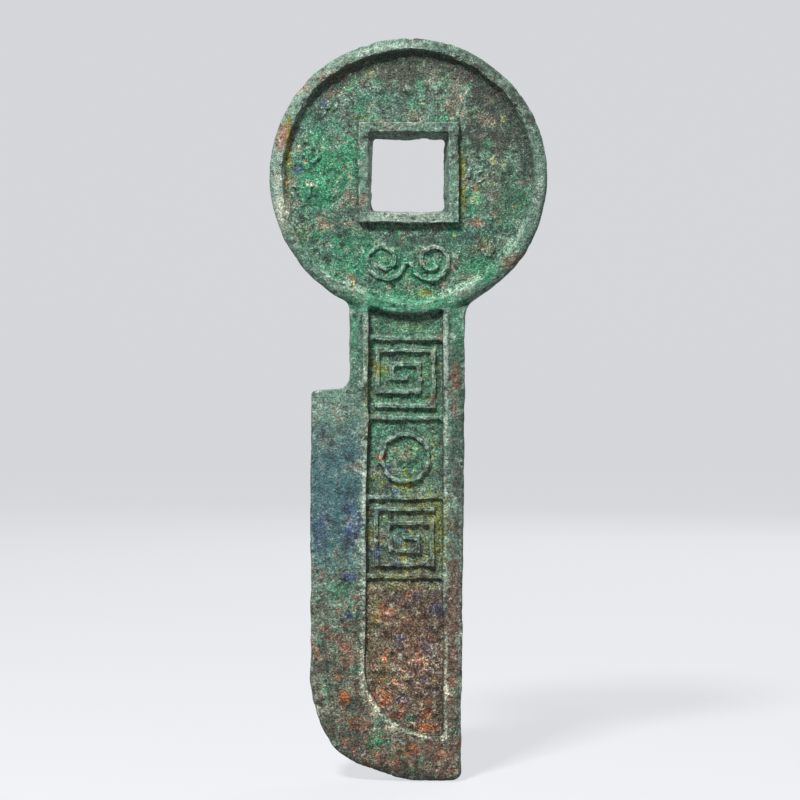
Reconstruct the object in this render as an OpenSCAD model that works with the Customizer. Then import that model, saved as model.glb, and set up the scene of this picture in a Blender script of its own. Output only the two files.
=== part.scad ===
// Cast bronze knife money: a round coin-like head with a square hole, a short neck and a
// blunt blade. X is the width, Y the thickness with the face towards -Y, and Z the length,
// with the blade's foot at z = 0. All sizes are in millimetres.

/* [Overall] */
// Length from the foot of the blade to the top of the head
total_length = 75; // [68:0.5:85]

/* [Head] */
// Diameter of the round head
head_d = 28.2; // [26:0.2:31]
// Thickness of the head over its rim, and of the blade over the border of its panel
rim_t = 3.8; // [3.4:0.1:5]
// Width of the raised rim round the head
head_rim_w = 1.9; // [1.2:0.1:2.4]
// Thickness of the sunk field of the head
head_field_t = 2.2; // [1.6:0.1:2.6]
// Rounding of the rim's outer edges
rim_round = 0.65; // [0.3:0.05:0.65]
// How far the rim's inner side slopes from its crest to the field
rim_slope = 0.5; // [0.2:0.05:0.7]

/* [Square hole] */
// Side of the hole at the back, where it is narrowest
hole_w = 7; // [6:0.1:7.6]
// Side of the hole at the front, where it is widest
hole_mouth_w = 7.9; // [7.7:0.1:8.6]
// Width of the raised frame round the hole
hole_rim_w = 1.2; // [0.8:0.1:1.6]
// How far the frame of the hole lies below the rim, on each face
hole_rim_sink = 0.05; // [0.02:0.01:0.3]
// How far the hole's centre lies above the head's centre
hole_lift = 0.4; // [0:0.1:0.8]

/* [Blade] */
// How far the blade's rims lie below the border of its panel, on each face
blade_sink = 0.1; // [0.05:0.01:0.25]
// How much thinner the blade is along its cutting edge
edge_thinning = 0.4; // [0.1:0.05:0.8]
// Thickness of the sunk field of the blade
blade_field_t = 2.2; // [1.6:0.1:2.4]
// Distance from the centre line to the spine, at the neck
spine_x = 5.75; // [5.4:0.05:6.4]
// How much nearer to the centre line the spine is at the foot
spine_lean = 0.35; // [0:0.05:0.6]
// Distance from the centre line to the outer side of the neck
neck_x = 6; // [5.6:0.1:7]
// Distance from the centre line to the cutting edge
edge_x = 9.9; // [8.6:0.1:11.5]
// Height of the blade's shoulder above the foot
shoulder_z = 39.5; // [34:0.5:42]
// Radius of the blade's curved tip
tip_r = 10.8; // [9:0.1:12]
// How much of the tip's curve is cut off flat to make the foot
foot_cut = 0.5; // [0.3:0.05:0.7]
// Radius of the corner between the foot and the spine
heel_r = 1.1; // [0.5:0.1:1.6]

/* [Neck corners] */
// Radius of the hollow between the head and the neck, on the cutting side
left_hollow_r = 0.9; // [0.5:0.1:1.6]
// Radius of the hollow between the head and the neck, on the spine side
right_hollow_r = 2; // [0.8:0.1:2.6]
// Radius of the hollow between the neck and the blade's shoulder
notch_r = 1.2; // [0.5:0.1:1.8]
// Radius of the blade shoulder's outer corner
shoulder_r = 0.6; // [0.3:0.1:1]

/* [Blade panel] */
// Distance from the centre line to the panel's left side, at the head
panel_left_top = 3.8; // [3.4:0.05:4]
// Distance from the centre line to the panel's left side, at its foot
panel_left_foot = 4.5; // [4:0.05:4.6]
// Distance from the centre line to the panel's right side
panel_right = 3.5; // [3:0.05:3.8]
// Height of the panel's lower side above the foot
panel_foot_z = 4.8; // [3.8:0.1:6]
// Radius of the panel's lower left corner
panel_r = 7; // [5:0.1:7.6]
// Width of the thin border round the panel
border_w = 0.5; // [0.4:0.05:0.6]

/* [Relief] */
// Height of the raised ornament above the fields
relief_h = 0.45; // [0.2:0.05:0.55]
// Width of the raised strokes
stroke_w = 0.65; // [0.5:0.05:0.8]
// Number of cells that the crossbars make in the panel
cell_count = 3; // [2:1:4]
// Distance from one crossbar to the next
cell_h = 8; // [7.6:0.1:9]
// Distance from the head's lower edge to the first crossbar
first_bar_drop = 2.2; // [1.6:0.1:3]
// Distance between neighbouring runs of a fret
fret_gap = 1.4; // [1.2:0.05:1.5]
// Number of runs on the longest side of a fret
fret_steps = 4; // [3:1:4]
// Radius of the ring round the boss
boss_ring_r = 2.4; // [1.8:0.1:2.6]
// Radius of the boss
boss_r = 0.95; // [0.6:0.05:1.1]
// Largest radius of a scroll on the head
scroll_r = 2.1; // [1.6:0.1:2.3]
// Number of turns in a scroll
scroll_turns = 1.4; // [1:0.1:1.6]
// Radius of the pellets on the head
pellet_r = 0.7; // [0.4:0.05:0.9]
// Number of pellets on the head
pellet_count = 3; // [2:1:4]
// Distance from one pellet to the next
pellet_gap = 2.9; // [2.2:0.1:3.2]

/* [Crust] */
// Height of the lumps of corrosion on the head's field
crust_h = 0.3; // [0.15:0.05:0.45]
// Radius of the largest lump
crust_r = 1.3; // [0.8:0.1:1.6]
// Distance from the lumps to the rim and to the frame of the hole
crust_gap = 0.5; // [0.2:0.05:0.9]

/* [Hidden] */
$fn = 180;

head_r = head_d / 2;
head_z = total_length - head_r;
head_inner_r = head_r - head_rim_w;
hole_z = head_z + hole_lift;
hole_frame_w = hole_mouth_w + 2 * hole_rim_w;
hole_rim_t = rim_t - 2 * hole_rim_sink;
blade_t = rim_t - 2 * blade_sink;
edge_t = blade_t - edge_thinning;
head_foot_z = head_z - head_r;

// Segments in a quarter turn of the blade's outline
arc_steps = 20;
// Spare length on a cutting shape, so that no two of its faces lie on one plane
spare = 5;
// Height where the tip's curve begins
tip_z = tip_r - foot_cut;

// Side of the panel that leans: from its top, inside the head, to its foot
panel_top = [-panel_left_top, head_z];
panel_foot = [-panel_left_foot, panel_foot_z];
panel_lean = atan2(panel_left_foot - panel_left_top, head_z - panel_foot_z);
panel_out = [-cos(panel_lean), sin(panel_lean)];
panel_corner = [
  panel_foot.x + panel_r * (1 / cos(panel_lean) + tan(panel_lean)), panel_foot_z + panel_r
];

// Lumps of crust along the rim, as [direction in degrees, share of the largest radius]
rim_lumps = [[166, 1], [188, 0.85], [140, 0.7], [318, 0.7]];
// The lump by the hole, as a share of the largest radius
hole_lump = 0.7;

colour_head = "#4f8a6c";
colour_blade = "#587f6b";
colour_tip = "#6f5f4c";
colour_relief = "#6c9272";
colour_crust = "#3fa779";

function arc(centre, r, from, to, steps = arc_steps) =
  [for (i = [0 : steps]) let (a = from + (to - from) * i / steps) centre + r * [cos(a), sin(a)]];

// Outline of the panel, moved outwards by grow
function panel_outline(grow) = concat(
  [panel_top + grow * panel_out],
  arc(panel_corner, panel_r + grow, 180 - panel_lean, 270),
  [[panel_right + grow, panel_foot_z - grow], [panel_right + grow, head_z]]
);

// Outline of the neck and blade, from inside the head down the cutting side to the foot and back
function knife_outline() = concat(
  [[-neck_x, head_z]],
  arc([-neck_x - notch_r, shoulder_z + notch_r], notch_r, 0, -90),
  arc([-edge_x + shoulder_r, shoulder_z - shoulder_r], shoulder_r, 90, 180),
  [for (p = arc([-edge_x + tip_r, tip_z], tip_r, 180, 270, 2 * arc_steps)) if (p.y > 0) p],
  [[-edge_x + tip_r - sqrt(tip_r ^ 2 - tip_z ^ 2), 0]],
  arc([spine_x - spine_lean - heel_r, heel_r], heel_r, 270, 360),
  [[spine_x, shoulder_z], [spine_x, head_z]]
);

// Centre of the circle that rounds the corner between the head and a neck side at x
function hollow_centre(x, r) =
  let (cx = x + sign(x) * r) [cx, head_z - sqrt((head_r + r) ^ 2 - cx ^ 2)];

// Corners of a squared spiral, in steps of its gap
function fret_run(i) = fret_steps - max(0, floor((i - 1) / 2));
function fret_corners(i = 0, p = [0, 0]) =
  i > 2 * fret_steps ? [p]
  : concat([p], fret_corners(i + 1, p + fret_run(i) * [round(cos(90 * i)), round(sin(90 * i))]));

// Height of the middle of a panel cell, counted from the head
function bar_z(i) = head_foot_z - first_bar_drop - cell_h * i;
function cell_z(i) = (bar_z(i) + bar_z(i + 1)) / 2;
function panel_mid(z) =
  (panel_right - panel_left_top - (panel_left_foot - panel_left_top) * (head_z - z)
    / (head_z - panel_foot_z)) / 2;

// Stands a drawing of X and Z up, and gives it thickness from y0 to y1
module between(y0, y1) {
  translate([0, y1, 0]) rotate([90, 0, 0]) linear_extrude(height = y1 - y0) children();
}

module slab(t) {
  between(-t / 2, t / 2) children();
}

// Relief that stands on the front of a field of thickness t
module raised_on(t) {
  between(-t / 2 - relief_h, -t / 2) children();
}

module head_disc(r) {
  translate([0, head_z]) circle(r = r);
}

module square_at(centre, w) {
  translate(centre) square([w, w], center = true);
}

// The part of a drawing that lies between two upright lines and two level ones
module within(x0, x1, z0, z1) {
  intersection() {
    children();
    translate([x0, z0]) square([x1 - x0, z1 - z0]);
  }
}

module panel(grow = 0) {
  difference() {
    polygon(panel_outline(grow));
    head_disc(head_r);
  }
}

// The neck and blade between two upright lines and two level ones, without the panel and its border
module blade_part(x0, x1, z0, z1) {
  difference() {
    within(x0, x1, z0, z1) polygon(knife_outline());
    polygon(panel_outline(border_w));
    head_disc(head_r);
  }
}

// The blade's cross-section, which thins towards the cutting edge
module thinned() {
  intersection() {
    children();
    translate([0, 0, -spare]) linear_extrude(height = total_length) polygon([
      [-edge_x, -edge_t / 2], [-neck_x, -blade_t / 2], [edge_x, -blade_t / 2],
      [edge_x, blade_t / 2], [-neck_x, blade_t / 2], [-edge_x, edge_t / 2]
    ]);
  }
}

// Cross-section of the outer rim: its inner side slopes, and its outer edges are round
module rim_section() {
  crest = rim_t / 2;
  crest_r = head_inner_r + rim_slope;
  round_r = head_r - rim_round;
  polygon([
    [head_inner_r, -head_field_t / 2], [crest_r, -crest], [round_r, -crest],
    [round_r, crest], [crest_r, crest], [head_inner_r, head_field_t / 2]
  ]);
  translate([crest_r, rim_round - crest]) square([head_r - crest_r, rim_t - 2 * rim_round]);
  for (side = [-1, 1]) translate([round_r, side * (crest - rim_round)]) circle(r = rim_round);
}

// The opening of the hole, which narrows from the front to the back
module hole_shape() {
  slope = (hole_mouth_w - hole_w) / hole_rim_t;
  depth = hole_rim_t / 2 + spare;
  front = hole_mouth_w + slope * spare;
  back = hole_w - slope * spare;
  section = [[-front / 2, -depth], [front / 2, -depth], [back / 2, depth], [-back / 2, depth]];
  translate([0, 0, hole_z]) intersection() {
    linear_extrude(height = hole_frame_w, center = true) polygon(section);
    rotate([0, 90, 0]) linear_extrude(height = hole_frame_w, center = true) polygon(section);
  }
}

// A low dome of radius r and height h that rises towards the front
module dome(r, h) {
  ball_r = (r ^ 2 + h ^ 2) / (2 * h);
  rotate([90, 0, 0]) rotate_extrude() intersection() {
    translate([0, h - ball_r]) circle(r = ball_r);
    square([ball_r, h]);
  }
}

// Raised rim round the head
module outer_rim() {
  color(colour_head) translate([0, 0, head_z]) rotate([90, 0, 0])
    rotate_extrude() rim_section();
}

// Sunk disc between the outer rim and the frame of the hole
module head_field() {
  color(colour_head) slab(head_field_t) difference() {
    head_disc(head_inner_r);
    square_at([0, hole_z], hole_frame_w);
  }
}

// Square frame round the hole
module hole_rim() {
  color(colour_head) difference() {
    slab(hole_rim_t) square_at([0, hole_z], hole_frame_w);
    hole_shape();
  }
}

// Hollow corner between the head and the neck, at the neck side x
module hollow(x, r) {
  centre = hollow_centre(x, r);
  towards_head = atan2(head_z - centre.y, -centre.x);
  towards_neck = x < 0 ? 0 : 180;
  touch_x = centre.x + r * cos(towards_head);
  slab(blade_t) difference() {
    polygon(concat(
      arc(centre, r, towards_neck, towards_head),
      [[touch_x, head_z], [x, head_z]]
    ));
    head_disc(head_r);
  }
}

module left_hollow() {
  color(colour_head) hollow(-neck_x, left_hollow_r);
}

module right_hollow() {
  color(colour_head) hollow(spine_x, right_hollow_r);
}

// Rim on the cutting side of the panel, from the head down to the tip
module neck_rim() {
  color(colour_blade) slab(blade_t) blade_part(-neck_x, 0, tip_z, head_z);
}

// Rim along the back of the knife, from the head down to the heel
module spine_rim() {
  color(colour_blade) slab(blade_t) blade_part(panel_right + border_w, edge_x, -spare, head_z);
}

// Broad flat on the cutting side, with its shoulder
module cutting_edge() {
  color(colour_blade) thinned() slab(blade_t) blade_part(-2 * edge_x, -neck_x, tip_z, head_z);
}

// Curved end of the blade with the foot that it stands on
module blade_tip() {
  color(colour_tip) thinned() slab(blade_t) blade_part(-2 * edge_x, panel_right + border_w, -spare, tip_z);
}

// Sunk field of the blade
module blade_field() {
  color(colour_tip) slab(blade_field_t) panel();
}

// Thin border round the panel, a little higher than the rims
module panel_border() {
  color(colour_blade) slab(rim_t) difference() {
    panel(border_w);
    panel();
  }
}

// Bars across the panel
module crossbars() {
  color(colour_relief) raised_on(blade_field_t) for (i = [0 : cell_count]) intersection() {
    panel();
    translate([-edge_x, bar_z(i) - stroke_w / 2]) square([2 * edge_x, stroke_w]);
  }
}

// Squared spiral in a cell of the panel, turned by 180 degrees where flip is -1
module fret(cell, flip) {
  corners = fret_corners();
  middle = fret_steps / 2 * [1, 1];
  color(colour_relief) raised_on(blade_field_t) translate([panel_mid(cell_z(cell)), cell_z(cell)])
    for (i = [0 : len(corners) - 2]) {
      a = flip * fret_gap * (corners[i] - middle);
      b = flip * fret_gap * (corners[i + 1] - middle);
      low = [min(a.x, b.x), min(a.y, b.y)] - stroke_w / 2 * [1, 1];
      high = [max(a.x, b.x), max(a.y, b.y)] + stroke_w / 2 * [1, 1];
      translate(low) square(high - low);
    }
}

module upper_fret() {
  fret(0, 1);
}

module lower_fret() {
  fret(cell_count - 1, -1);
}

// Boss and ring in the second cell of the panel
module ringed_boss() {
  color(colour_relief) raised_on(blade_field_t) translate([panel_mid(cell_z(1)), cell_z(1)]) {
    difference() {
      circle(r = boss_ring_r + stroke_w / 2);
      circle(r = boss_ring_r - stroke_w / 2);
    }
  }
  color(colour_relief) translate([panel_mid(cell_z(1)), -blade_field_t / 2, cell_z(1)])
    dome(boss_r, relief_h);
}

// Pair of scrolls on the head, under the hole
module cloud_scroll() {
  steps = ceil(2 * arc_steps * scroll_turns);
  turn = 360 * scroll_turns;
  wind = (scroll_r - stroke_w) / turn;
  middle = [scroll_r + stroke_w / 2, (hole_z - hole_frame_w / 2 + head_z - head_inner_r) / 2];
  function edge(side) = [for (i = [0 : steps]) let (a = turn * i / steps)
    middle + (scroll_r - wind * a + side * stroke_w / 2) * [cos(180 + a), sin(180 + a)]];
  inner = edge(-1);
  color(colour_relief) raised_on(head_field_t) for (side = [0, 1]) mirror([side, 0])
    polygon(concat(edge(1), [for (i = [steps : -1 : 0]) inner[i]]));
}

// Row of pellets on the head, over the hole
module pellets() {
  row_z = (hole_z + hole_frame_w / 2 + head_z + head_inner_r) / 2;
  color(colour_relief) for (i = [0 : pellet_count - 1])
    translate([pellet_gap * (i - (pellet_count - 1) / 2), -head_field_t / 2, row_z])
      dome(pellet_r, relief_h);
}

// Low domes of corrosion on the front of the head's field: some along the rim, one by the hole
module crust_lumps() {
  color(colour_crust) translate([0, -head_field_t / 2, 0]) {
    for (lump = rim_lumps) {
      r = lump[1] * crust_r;
      away = head_inner_r - crust_gap - r;
      translate([away * cos(lump[0]), 0, head_z + away * sin(lump[0])]) dome(r, crust_h);
    }
    small_r = hole_lump * crust_r;
    translate([hole_frame_w / 2 + crust_gap + small_r, 0, hole_z]) dome(small_r, crust_h);
  }
}

outer_rim();
head_field();
hole_rim();
left_hollow();
right_hollow();
neck_rim();
spine_rim();
cutting_edge();
blade_tip();
blade_field();
panel_border();
crossbars();
upper_fret();
lower_fret();
ringed_boss();
cloud_scroll();
pellets();
crust_lumps();
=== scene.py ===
import math

import bmesh
import bpy
import numpy as np
from mathutils import Matrix, Vector, kdtree


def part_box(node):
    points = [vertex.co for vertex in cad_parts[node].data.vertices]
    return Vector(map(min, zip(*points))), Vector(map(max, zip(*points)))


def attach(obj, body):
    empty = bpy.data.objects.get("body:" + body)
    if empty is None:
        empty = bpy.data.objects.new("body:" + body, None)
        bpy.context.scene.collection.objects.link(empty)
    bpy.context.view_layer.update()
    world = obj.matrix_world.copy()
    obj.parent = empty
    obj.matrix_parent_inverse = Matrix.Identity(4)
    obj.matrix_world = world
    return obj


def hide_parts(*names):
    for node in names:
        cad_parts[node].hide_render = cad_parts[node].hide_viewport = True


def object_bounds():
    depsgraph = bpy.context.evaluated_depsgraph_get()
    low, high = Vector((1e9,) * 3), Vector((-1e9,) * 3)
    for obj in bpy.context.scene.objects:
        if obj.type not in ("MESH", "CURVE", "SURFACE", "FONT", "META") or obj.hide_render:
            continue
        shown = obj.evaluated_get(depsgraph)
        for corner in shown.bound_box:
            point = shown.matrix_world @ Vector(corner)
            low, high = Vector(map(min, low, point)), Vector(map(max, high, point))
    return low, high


bl_info = {
    "name": "Cast bronze knife coin",
    "version": (1, 0, 0),
    "blender": (4, 5, 0),
    "location": "3D View > Sidebar > Knife Coin",
    "description": "Weathered skin, patina and stage for a cast bronze knife coin",
    "category": "Object",
}

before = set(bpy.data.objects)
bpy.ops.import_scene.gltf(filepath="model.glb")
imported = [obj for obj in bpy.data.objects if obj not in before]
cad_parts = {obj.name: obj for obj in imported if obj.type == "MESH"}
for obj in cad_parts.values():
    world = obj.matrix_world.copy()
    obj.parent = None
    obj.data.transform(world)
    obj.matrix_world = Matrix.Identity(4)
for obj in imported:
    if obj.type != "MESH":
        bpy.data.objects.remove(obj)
CAD_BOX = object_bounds()

# The casting is shaped in millimetres, and its finished pieces are in metres.
MM = 0.001
# Half the depth of the cutting tools, and places beyond the casting's sides and top.
TOOL_REACH, FAR, ABOVE = 4.0, 40.0, 80.0
# Depth, from the middle plane, at which raised ornament is parted from its field.
RELIEF_FLOOR = 0.6
# How far cuts lie beside the CAD's faces, to run through an even surface.
HEAD_MARGIN, FRAME_MARGIN, RIM_MARGIN, PANEL_MARGIN = 0.12, 0.25, 0.15, 0.2
HOLLOW_MARGIN, RIGHT_HOLLOW_DROP, EDGE_MARGIN = 0.2, 0.3, 0.1

NODES_OF_SLOT = {
    "head_patina": ("outer_rim", "head_field", "hole_rim", "left_hollow", "right_hollow"),
    "blade_patina": ("neck_rim", "spine_rim", "cutting_edge", "panel_border"),
    "tip_patina": ("blade_tip", "blade_field"),
    "relief_patina": (
        "crossbars", "upper_fret", "lower_fret", "ringed_boss", "cloud_scroll", "pellets",
    ),
    "malachite_crust": ("crust_lumps",),
}
SLOT_OF_NODE = {node: slot for slot, nodes in NODES_OF_SLOT.items() for node in nodes}


def box_mm(node):
    """Lowest and highest corner of a CAD node, in millimetres."""
    return tuple(np.array(corner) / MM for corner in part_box(node))


def head_circle(node="outer_rim"):
    """Radius of a round CAD node, and height of its centre, in millimetres."""
    low, high = box_mm(node)
    return (high[0] - low[0]) / 2, (low[2] + high[2]) / 2


def linear(value):
    """A display value from 0 to 255 as Blender's linear value."""
    value /= 255
    return value / 12.92 if value <= 0.04045 else ((value + 0.055) / 1.055) ** 2.4


def colour(name, description, *values):
    """A setting for a colour, with its default in display values."""
    return bpy.props.FloatVectorProperty(
        name=name, description=description, subtype="COLOR", size=3, min=0, max=1,
        default=[linear(value) for value in values],
    )


def amount(name, description, default):
    """A setting for a number of 0 or more."""
    return bpy.props.FloatProperty(name=name, description=description, default=default, min=0)


class CastingSizes(bpy.types.PropertyGroup):
    grid: amount("Grid", "Edge of the mesh's squares, in mm", 0.1)
    stagger: amount("Stagger", "How far the carved lines of the mould wander, in mm", 0.16)
    swell: amount("Swell", "Depth of the broad unevenness of the casting, in mm", 0.1)
    dimple: amount("Dimples", "Depth of the dimples between the grains, in mm", 0.14)
    grain: amount("Grain", "Depth of the fine grain, in mm", 0.06)
    pit: amount("Pits", "Depth of the deepest corrosion pits, in mm", 0.14)
    nick: amount("Nicks", "Depth of the deepest nicks in the edges, in mm", 0.22)
    border_line: amount("Border line", "Height of the fine line round the panel, in mm", 0.24)
    silt: amount("Silt", "Depth of the corrosion that fills the panel's lower end, in mm", 0.25)
    relief_wear: bpy.props.IntProperty(
        name="Relief wear", description="Rounds of softening over the whole casting", default=5)
    edge_wear: bpy.props.IntProperty(
        name="Edge wear", description="More rounds of softening on the outer edges", default=18)


class PatinaColours(bpy.types.PropertyGroup):
    verdigris: colour("Verdigris", "Grey-green ground of the head and neck", 108, 136, 121)
    sea_green: colour("Sea green", "Greener ground of the hollows", 60, 116, 90)
    bronze: colour("Bronze", "Grey-brown ground that shows through", 96, 90, 76)
    teal: colour("Teal", "Blue-green ground of the blade", 62, 102, 108)
    earth: colour("Earth", "Brown ground of the blade's lower end", 112, 98, 82)
    malachite: colour("Malachite", "Bright green mineral", 46, 146, 102)
    # Pale green also stands for painted highlights: on the rim's lower inner wall, the frame's
    # lower bar, the spine's right edge and raised ridges.
    pale: colour("Pale green", "Powdery bloom on the rims", 164, 184, 168)
    cream: colour("Cream", "Pale specks", 214, 210, 184)
    olive: colour("Olive", "Deposit in the inner corners", 96, 98, 40)
    yellow: colour("Yellow", "Yellow-green specks", 158, 160, 52)
    rust: colour("Rust", "Pinkish brown stains", 144, 92, 72)
    orange: colour("Orange", "Orange stains", 178, 94, 44)
    azurite: colour("Azurite", "Blue mineral", 52, 64, 118)
    # Soot also stands for painted shade: in hollows, on the rim's upper inner wall, inside the hole
    # and under raised parts.
    soot_and_shade: colour("Soot", "Dark deposit in pits and hollows", 20, 25, 20)


class StageSettings(bpy.types.PropertyGroup):
    floor: colour("Floor", "Colour of the floor and backdrop", 232, 234, 237)
    bounce: colour("Bounce", "The floor's colour for the light that it throws back", 110, 112, 116)
    camera_distance: amount("Camera distance", "From the camera to the coin's face, in mm", 200.0)
    aim_x: bpy.props.FloatProperty(name="Aim across", description="In mm", default=-0.84)
    camera_height: amount("Camera height", "Height of the level camera, in mm", 38.4)
    view_width: amount("View width", "Width of the picture at the coin's face, in mm", 80.3)
    glow: amount("Glow", "Share of the floor's own brightness in the picture", 0.8)
    key: amount("Key light", "Power in watts", 1.75)
    fill: amount("Fill light", "Power in watts", 0.12)
    rear: amount("Rear light", "Power in watts", 0.7)
    sky: amount("Sky", "Strength of the even light", 0.11)


class Wire:
    """An output of a shader node. Arithmetic on it adds Math nodes."""

    def __init__(self, graph, socket):
        self.graph = graph
        self.socket = socket

    def __add__(self, other):
        return self.graph.maths("ADD", self, other)

    __radd__ = __add__

    def __sub__(self, other):
        return self.graph.maths("SUBTRACT", self, other)

    def __rsub__(self, other):
        return self.graph.maths("SUBTRACT", other, self)

    def __mul__(self, other):
        return self.graph.maths("MULTIPLY", self, other)

    def __abs__(self):
        return self.graph.maths("ABSOLUTE", self)


class Graph:
    """The node tree of a material or world."""

    def __init__(self, material):
        material.use_nodes = True
        self.tree = material.node_tree
        self.tree.nodes.clear()

    def node(self, kind, sockets=None, out=0, **settings):
        """Adds a node with its settings and sockets, and gives one of its outputs."""
        node = self.tree.nodes.new(kind)
        for name, value in settings.items():
            setattr(node, name, value)
        for key, value in (sockets or {}).items():
            if isinstance(value, Wire):
                self.tree.links.new(value.socket, node.inputs[key])
            else:
                node.inputs[key].default_value = value
        return Wire(self, node.outputs[out]) if node.outputs else None

    def maths(self, operation, *values):
        return self.node("ShaderNodeMath", dict(enumerate(values)), operation=operation)

    def vector(self, operation, *values, out=0):
        return self.node("ShaderNodeVectorMath", dict(enumerate(values)), out, operation=operation)

    def highest(self, values):
        """The highest of some values, place by place."""
        top, *others = values
        for value in others:
            top = self.maths("MAXIMUM", top, value)
        return top

    def step(self, value, low, high, start=0.0, end=1.0):
        """A smooth step from start to end while value goes from low to high."""
        return self.node(
            "ShaderNodeMapRange",
            {"Value": value, "From Min": low, "From Max": high, "To Min": start, "To Max": end},
            interpolation_type="SMOOTHSTEP", clamp=True)

    def mix(self, factor, first, second, blend="MIX"):
        """Colour mix: first where factor is 0, second where it is 1."""
        def opaque(value):
            return value if isinstance(value, Wire) else (*value, 1.0)

        return self.node(
            "ShaderNodeMix", {0: factor, 6: opaque(first), 7: opaque(second)}, 2,
            data_type="RGBA", blend_type=blend, clamp_factor=True)

    def noise(self, place, grain, detail, roughness=0.55, out=0):
        """Cloudy noise whose features are about grain millimetres across."""
        return self.node("ShaderNodeTexNoise", {
            "Vector": place, "Scale": 1 / grain, "Detail": detail, "Roughness": roughness}, out)

    def channels(self, wire):
        """The three parts of a vector or a colour."""
        split = self.node("ShaderNodeSeparateXYZ", {0: wire})
        return [Wire(self, output) for output in split.socket.node.outputs]

    def attribute(self, name):
        """A number that the mesh keeps at its points."""
        return self.node("ShaderNodeAttribute", out="Fac", attribute_name=name)

    def surface(self, sockets):
        shader = self.node("ShaderNodeBsdfPrincipled", sockets)
        self.node("ShaderNodeOutputMaterial", {"Surface": shader})
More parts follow.
